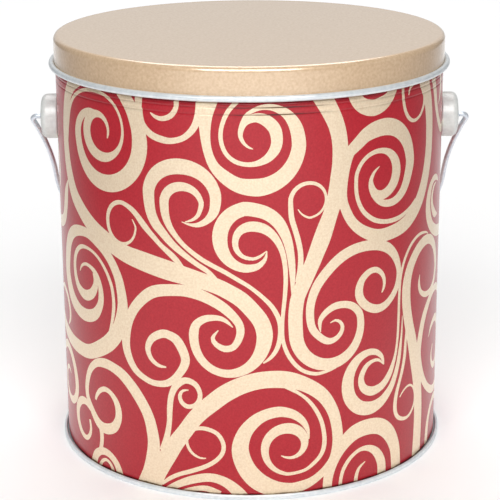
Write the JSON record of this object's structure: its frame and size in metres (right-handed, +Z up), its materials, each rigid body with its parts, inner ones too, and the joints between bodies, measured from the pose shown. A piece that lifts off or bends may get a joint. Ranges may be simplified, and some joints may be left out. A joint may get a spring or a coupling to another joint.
{
  "type": "popcorn tin with lid and bail",
  "caption": "Shut round metal tin with a slip lid, a rolled silver edge, a seamed foot, two round ears and a wire bail that swings on them.",
  "frame": {"origin": "centre of the foot, on the surface that the tin stands on", "axes": "+Z up along the tin's axis; X through the two ears, which is the bail's pivot line; the front faces -Y and the bail hangs behind, at +Y"},
  "size_m": [0.1906, 0.1714, 0.1802],
  "materials": {
    "red_print": "satin varnish over red ink, with pale gold scrolls",
    "gold_print": "pale gold scrolls of the print, satin",
    "gold_lacquer": "satin gold lacquer with a fine grain",
    "bare_tin": "bare bright tinplate",
    "ear_metal": "soft white satin metal",
    "zinc_wire": "bright zinc-coated wire"
  },
  "bodies": {
    "tin": {"wall": "red_print", "foot": "bare_tin", "lid": "gold_lacquer", "ear_left": "ear_metal", "ear_right": "ear_metal"},
    "bail": {"bail": "zinc_wire"}
  },
  "joints": [
    {"name": "bail_swing", "type": "hinge", "parent": "tin", "child": "bail", "pos_m": [0, 0, 0.14305], "axis": [1, 0, 0], "range_deg": [0, 280.3]}
  ]
}
